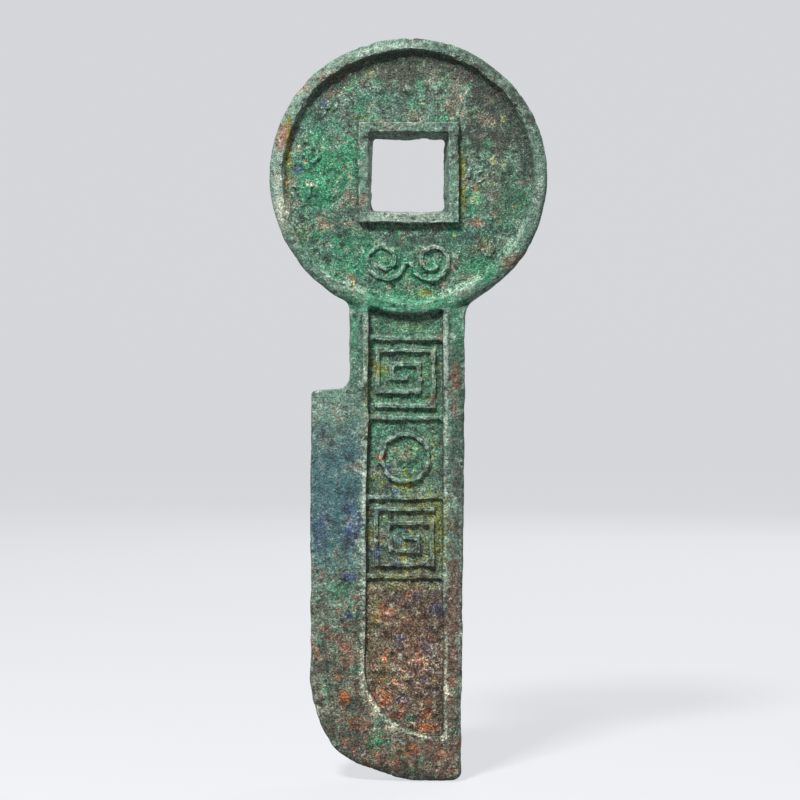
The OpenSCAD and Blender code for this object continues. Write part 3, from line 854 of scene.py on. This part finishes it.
class Zones:
    """Where the parts of the knife are: shares and distances at each point of the skin."""

    def __init__(self, points):
        x, y, z = points.T
        radius, height = head_circle()
        inner, _ = head_circle("head_field")
        hole_low, hole_high = box_mm("hole_rim")
        hole_height = (hole_low[2] + hole_high[2]) / 2
        from_axis = np.hypot(x, z - height)
        from_hole = np.maximum(np.abs(x), np.abs(z - hole_height)) - hole_high[0]
        self.from_panel = reach_outside(points, "blade_field")
        self.from_blade = reach_outside(points, "cutting_edge", "blade_tip", "spine_rim")
        depth = np.abs(y)
        below_head = ease(from_axis, radius - 0.4, radius - 0.1)
        self.panel = ease(-self.from_panel, -0.05, 0.1) * below_head
        field = ease(inner + 0.4 - from_axis, 0, 0.3) * ease(from_hole, -0.05, 0.1)
        self.sunk = np.maximum(self.panel, field) * ease(FLAT_DEPTH - depth, 0.1, 0.35)
        outer_edge = np.where(from_axis > radius, 1, ease(from_axis, radius - 1.1, radius - 0.6))
        self.outline = ease(self.from_panel, 0.7, 1.2) * outer_edge
        self.lip = (
            ease(0.6 - np.abs(self.from_panel - 0.1), 0, 0.3)
            * ease(from_axis, radius, radius + 0.5))
        self.front = ease(-y, 0.3, 0.9)
        self.crust = np.zeros(len(points))
        for island in islands("crust_lumps"):
            spots = np.array(island)
            middle = (spots.min(axis=0) + spots.max(axis=0)) / 2
            reach = np.hypot(x - middle[0], z - middle[1]) - (spots[:, 0].max() - middle[0])
            self.crust = np.maximum(self.crust, ease(-reach, -0.5, -0.2) * self.front)


def rounded(top, fall, outward):
    """Depth of an edge that falls in a round, while outward goes from 0 to 1."""
    return top - fall * (1 - np.sqrt(1 - ROUNDNESS * outward ** 2))


def reshape_faces(points, zones, sizes):
    """Uneven relief, silt, a fine line round the panel, flaky crust, round edges, a worn foot."""
    x, y, z = points.T
    side = np.sign(y)
    depth = np.abs(y)
    floor = box_mm("blade_field")[1][1]
    raised = zones.sunk * zones.front * np.clip(depth - floor, 0, 1)
    depth -= raised * (0.2 + 0.4 * cloud(points, 2.6, 21))
    bar = box_mm("crossbars")[0][2]
    silted = zones.panel * ease(bar + 0.2 - z, 0, BLEND) * ease(FLAT_DEPTH - depth, 0.0, 0.4)
    depth += sizes.silt * silted
    depth += SILT_LUMPS * silted * (cloud(points, 0.7, 23) - 0.5)
    head_radius, head_height = head_circle()
    from_axis = np.hypot(x, z - head_height)
    below_head = ease(from_axis, head_radius + 0.2, head_radius + 0.8)
    ridge = np.exp(-((zones.from_panel - LINE_PLACE) / LINE_WIDTH) ** 2)
    zones.line = ridge * ease(depth, 1.45, 1.7) * below_head
    depth += sizes.border_line * zones.line
    flake = np.clip(depth - floor, 0, 1) + CRUST_FLAKES * (cloud(points, 0.5, 22) - 0.5)
    depth += zones.crust * (floor + CRUST_THICKNESS * ease(flake, 0.02, 0.12) - depth)

    outward = np.clip((from_axis - head_radius + RING_ROUND) / RING_ROUND, 0, 1)
    round_side = rounded(box_mm("outer_rim")[1][1], RING_FALL, outward)
    on_ring = 1 - ease(from_axis, head_radius, head_radius + 0.5)
    on_ring *= 1 - ease(NECK_HALF - np.abs(x), 0, BLEND) * ease(NECK_TOP - z, 0, BLEND)
    depth -= on_ring * np.clip(depth - round_side, 0, None)
    outward = np.clip(1 + zones.from_blade / BLADE_ROUND, 0, 1)
    round_side = rounded(box_mm("blade_tip")[1][1], BLADE_FALL, outward)
    on_blade = ease(box_mm("cutting_edge")[1][2] - z, 0, BLEND)
    depth -= on_blade * np.clip(depth - round_side, 0, None)

    right_part = np.clip((FOOT_RIGHT - x) / (FOOT_RIGHT - FOOT_MIDDLE), 0, 1) ** 2
    worn = np.where(x > FOOT_MIDDLE, right_part, ease(x, FOOT_LEFT, FOOT_MIDDLE))
    z = z + FOOT_LIFT * worn * ease(FOOT_TOP - z, 0.0, FOOT_FADE)
    return np.stack([x, side * depth, z], axis=1)


# Layers of the unevenness: (share, size in millimetres, seed).
WANDER = ((0.6, 3.6, 30), (0.4, 1.3, 40))
SWELL = ((0.6, 5.0, 1), (0.4, 2.3, 2))
GRAIN = ((0.55, 0.34, 5), (0.45, 0.2, 6))
# Distance inside the CAD box at which the outline wanders freely, in millimetres.
FREE_ROOM = 1.2
# Number of corrosion pits, and of nicks in the sharpest tenth of the surface.
PITS, NICKS, SHARP = 1100, 260, 0.9
# How much of its sideways move the panel's lip loses.
LIP_HOLD = 0.9
# Height over the near and the wide shape that counts in full, in millimetres.
FULL_BEND, FULL_CREST = 0.04, 0.2


def let_wander(skin, stagger, low, high):
    """Moves the outline and carved lines to and fro, but not at the sides of the CAD box."""
    points = skin.points
    room = ease(np.minimum(points - low, high - points), 0.0, FREE_ROOM)
    for axis in (0, 2):
        wander = clouds(points, WANDER, axis) - 0.5
        points[:, axis] += 2 * stagger * wander * room[:, axis]
    skin.points = skin.soften(points, rounds=1)


def corroded_depth(skin, zones, sizes):
    """How deep the swell, dimples, grain, pits and nicks go at each point."""
    points = skin.points
    groove = 1 - np.abs(2 * cloud(points, 0.8, 4) - 1)
    dimple = 0.5 * cloud(points, 1.1, 3) + 0.5 * groove ** 3
    fine = sizes.dimple * dimple + sizes.grain * clouds(points, GRAIN)
    inward = sizes.swell * clouds(points, SWELL) + fine * (1 - 0.5 * zones.outline)
    bulge = lift(points - skin.soften(points, rounds=20), skin.normals(points))
    draw = np.random.RandomState(seed=11)
    pits = draw.choice(skin.count, PITS, replace=False)
    radii = 0.12 + 0.4 * draw.rand(PITS) ** 3
    inward += dents(points, pits, radii, sizes.pit * (0.3 + 0.7 * draw.rand(PITS)))
    edges = np.flatnonzero(bulge > np.quantile(bulge, SHARP))
    nicks = draw.choice(edges, NICKS, replace=False)
    radii = 0.25 + 0.6 * draw.rand(NICKS) ** 2
    inward += dents(points, nicks, radii, sizes.nick * draw.rand(NICKS) ** 1.5)
    return inward


def weathered_casting():
    """The fused casting with worn edges, uneven surface, grain and pits."""
    sizes = bpy.context.scene.casting_sizes
    skin = Skin(raw_casting(sizes.grid))
    zones = Zones(skin.points)
    skin.points = skin.soften(skin.points, sizes.relief_wear)
    skin.points = skin.soften(skin.points, sizes.edge_wear, zones.outline)
    skin.points = reshape_faces(skin.points, zones, sizes)
    skin.points = skin.soften(skin.points, rounds=4, weight=zones.outline)
    low, high = (np.array(corner) / MM for corner in CAD_BOX)
    let_wander(skin, sizes.stagger, low, high)
    inward = corroded_depth(skin, zones, sizes)
    # The panel's lip moves little sideways, so that its two sides never cross.
    outward = skin.normals(skin.soften(skin.points, rounds=30))
    outward[:, ::2] *= (1 - LIP_HOLD * zones.lip)[:, None]
    skin.points = np.clip(skin.points - outward * inward[:, None], low, high)

    normals = skin.normals(skin.points)
    near = skin.soften(skin.points, rounds=6)
    wide = skin.soften(near, rounds=50)
    skin.keep("bend", np.clip(lift(skin.points - near, normals) / FULL_BEND, -1, 1))
    skin.keep("crest", np.clip(lift(skin.points - wide, normals) / FULL_CREST, -1, 1))
    skin.keep("line", zones.line)
    skin.keep("sunk", zones.sunk)
    mark_caps(skin.mesh, 0)
    return skin.mesh


class KNIFE_OT_casting(bpy.types.Operator):
    """Fuses the CAD solids into one weathered casting and parts the head from the blade"""

    bl_idname = "knife.casting"
    bl_label = "Casting"

    def execute(self, context):
        radius, height = head_circle()
        head, blade = split(weathered_casting(), disc(radius + HEAD_MARGIN, height))
        head.name, blade.name = "head_casting", "blade_casting"
        return {"FINISHED"}


def part_off(casting, tools):
    """Parts pieces from a casting with their tools and places them. Gives what is left."""
    for node, tool in tools.items():
        piece, casting = split(casting, tool)
        place_piece(node, piece)
    return casting


class KNIFE_OT_head(bpy.types.Operator):
    """Cuts the head into its rim, field, frame of the hole and raised ornament"""

    bl_idname = "knife.head"
    bl_label = "Head"

    def execute(self, context):
        low, high = box_mm("hole_rim")
        head = part_off(bpy.data.meshes["head_casting"], {"hole_rim": block(
            low[0] - FRAME_MARGIN, high[0] + FRAME_MARGIN,
            low[2] - FRAME_MARGIN, high[2] + FRAME_MARGIN)})
        radius, height = head_circle("head_field")
        field, rim = split(head, disc(radius - RIM_MARGIN, height))
        place_piece("outer_rim", rim)
        field = part_off(field, {
            "cloud_scroll": prism("cloud_scroll"),
            "pellets": hull("pellets", back=-RELIEF_FLOOR),
            "crust_lumps": hull("crust_lumps", back=-RELIEF_FLOOR),
        })
        place_piece("head_field", field)
        return {"FINISHED"}


class KNIFE_OT_blade(bpy.types.Operator):
    """Cuts the neck and blade into rims, edge, tip, border, field and raised ornament"""

    bl_idname = "knife.blade"
    bl_label = "Neck and blade"

    def execute(self, context):
        panel, rest = split(bpy.data.meshes["blade_casting"], hull("panel_border"))
        field, border = split(panel, draw_in(hull("blade_field"), PANEL_MARGIN))
        place_piece("panel_border", border)
        field = part_off(field, {
            "crossbars": prism("crossbars"),
            "upper_fret": prism("upper_fret"),
            "ringed_boss": hull("ringed_boss", back=-RELIEF_FLOOR, together=True),
            "lower_fret": prism("lower_fret"),
        })
        place_piece("blade_field", field)
        right_low, _ = box_mm("right_hollow")
        left_low, left_high = box_mm("left_hollow")
        _, edge_high = box_mm("cutting_edge")
        rest = part_off(rest, {
            "right_hollow": block(
                right_low[0] - HOLLOW_MARGIN, FAR, right_low[2] - RIGHT_HOLLOW_DROP, ABOVE),
            "spine_rim": block(box_mm("spine_rim")[0][0], FAR, -FAR, ABOVE),
            "blade_tip": block(-FAR, FAR, -FAR, box_mm("blade_tip")[1][2]),
            "left_hollow": block(
                -FAR, left_high[0] + HOLLOW_MARGIN, left_low[2] - HOLLOW_MARGIN, ABOVE),
            "cutting_edge": block(
                -FAR, edge_high[0] + EDGE_MARGIN, -FAR, edge_high[2] - EDGE_MARGIN),
        })
        place_piece("neck_rim", rest)
        return {"FINISHED"}


# Place and width of each lamp, in metres.
LAMPS = {
    "key": ((-0.1, -0.2, 0.29), 0.06),
    "fill": ((0.22, -0.2, 0.1), 0.2),
    "rear": ((0.12, 0.3, 0.26), 0.3),
}


class KNIFE_OT_stage(bpy.types.Operator):
    """Adds the floor, lights, world and camera"""

    bl_idname = "knife.stage"
    bl_label = "Stage"

    def execute(self, context):
        scene = context.scene
        stage = scene.stage_settings
        scene.view_settings.view_transform = "Standard"
        self.floor(stage)
        self.world(scene, stage)
        for name, (place, width) in LAMPS.items():
            self.lamp(name, getattr(stage, name), place, width)
        self.camera(scene, stage)
        return {"FINISHED"}

    def floor(self, stage):
        """A floor that curves up into a backdrop."""
        bm = bmesh.new()
        half, back, bend, rise = 3.0, 1.2, 0.8, 3.0
        ends = [bm.verts.new((side * half, -half, 0)) for side in (-1, 1)]
        edge = bm.edges.new(ends)
        far = verts_in(bmesh.ops.extrude_edge_only(bm, edges=[edge])["geom"])
        bmesh.ops.translate(bm, vec=(0, half + back, 0), verts=far)
        made = bmesh.ops.spin(
            bm, geom=[bm.edges.get(far), *far], cent=(0, back, bend), axis=(1, 0, 0),
            angle=math.pi / 2, steps=24)
        wall = [item for item in made["geom_last"] if isinstance(item, bmesh.types.BMEdge)]
        top = verts_in(bmesh.ops.extrude_edge_only(bm, edges=wall)["geom"])
        bmesh.ops.translate(bm, vec=(0, 0, rise), verts=top)
        bmesh.ops.recalc_face_normals(bm, faces=bm.faces)
        for face in bm.faces:
            face.smooth = True
        floor = link(bpy.data.objects.new("floor", mesh_from(bm, "floor")))
        material = bpy.data.materials.new("floor")
        graph = Graph(material)
        pale = (*stage.floor, 1.0)
        unseen = graph.node("ShaderNodeBsdfDiffuse", {"Color": (*stage.bounce, 1.0)})
        matt = graph.node("ShaderNodeBsdfDiffuse", {"Color": pale})
        glow = graph.node("ShaderNodeEmission", {"Color": pale})
        shown = graph.node("ShaderNodeMixShader", {0: stage.glow, 1: matt, 2: glow})
        both = graph.node("ShaderNodeMixShader", {0: self.seen(graph), 1: unseen, 2: shown})
        graph.node("ShaderNodeOutputMaterial", {"Surface": both})
        floor.data.materials.append(material)

    def seen(self, graph):
        """1 for rays that show the background, and 0 for rays that light the coin."""
        rays = graph.node("ShaderNodeLightPath").socket.node.outputs
        return graph.highest(
            Wire(graph, rays[f"Is {kind} Ray"]) for kind in ("Camera", "Glossy", "Transmission"))

    def world(self, scene, stage):
        """Even light on the coin, and the floor's colour behind it."""
        scene.world = bpy.data.worlds.new("studio")
        graph = Graph(scene.world)
        lit = graph.node("ShaderNodeBackground", {"Color": (1, 1, 1, 1), "Strength": stage.sky})
        shown = graph.node(
            "ShaderNodeBackground", {"Color": (*stage.floor, 1), "Strength": stage.glow})
        both = graph.node("ShaderNodeMixShader", {0: self.seen(graph), 1: lit, 2: shown})
        graph.node("ShaderNodeOutputWorld", {"Surface": both})

    def lamp(self, name, power, place, width):
        data = bpy.data.lights.new(name, "AREA")
        data.energy = power
        data.size = width
        lamp = link(bpy.data.objects.new(name, data))
        lamp.location = place
        aim = Vector((0, 0, 0.04)) - lamp.location
        lamp.rotation_euler = aim.to_track_quat("-Z", "Y").to_euler()

    def camera(self, scene, stage):
        data = bpy.data.cameras.new("camera")
        data.sensor_width = 36.0
        data.lens = data.sensor_width * stage.camera_distance / stage.view_width
        data.clip_start = 0.01
        camera = link(bpy.data.objects.new("camera", data))
        face = box_mm("outer_rim")[0][1]
        camera.location = Vector(
            (stage.aim_x, face - stage.camera_distance, stage.camera_height)) * MM
        camera.rotation_euler = (math.pi / 2, 0, 0)
        scene.camera = camera


class KNIFE_PT_panel(bpy.types.Panel):
    bl_idname = "KNIFE_PT_panel"
    bl_label = "Knife Coin"
    bl_space_type = "VIEW_3D"
    bl_region_type = "UI"
    bl_category = "Knife Coin"

    def draw(self, context):
        for operator in OPERATORS:
            self.layout.operator(operator.bl_idname)
        for name in SETTINGS:
            group = getattr(context.scene, name)
            for setting in group.bl_rna.properties:
                if not setting.is_readonly and setting.identifier != "name":
                    self.layout.prop(group, setting.identifier)


OPERATORS = (KNIFE_OT_casting, KNIFE_OT_head, KNIFE_OT_blade, KNIFE_OT_stage)
SETTINGS = {
    "casting_sizes": CastingSizes, "patina_colours": PatinaColours, "stage_settings": StageSettings,
}


def register():
    for group in (*SETTINGS.values(), *OPERATORS, KNIFE_PT_panel):
        bpy.utils.register_class(group)
    for name, group in SETTINGS.items():
        setattr(bpy.types.Scene, name, bpy.props.PointerProperty(type=group))


def unregister():
    for name in SETTINGS:
        delattr(bpy.types.Scene, name)
    for group in (KNIFE_PT_panel, *reversed(OPERATORS), *SETTINGS.values()):
        bpy.utils.unregister_class(group)


def main():
    register()
    bpy.ops.knife.casting()
    bpy.ops.knife.head()
    bpy.ops.knife.blade()
    bpy.ops.knife.stage()


if __name__ == "__main__":
    main()
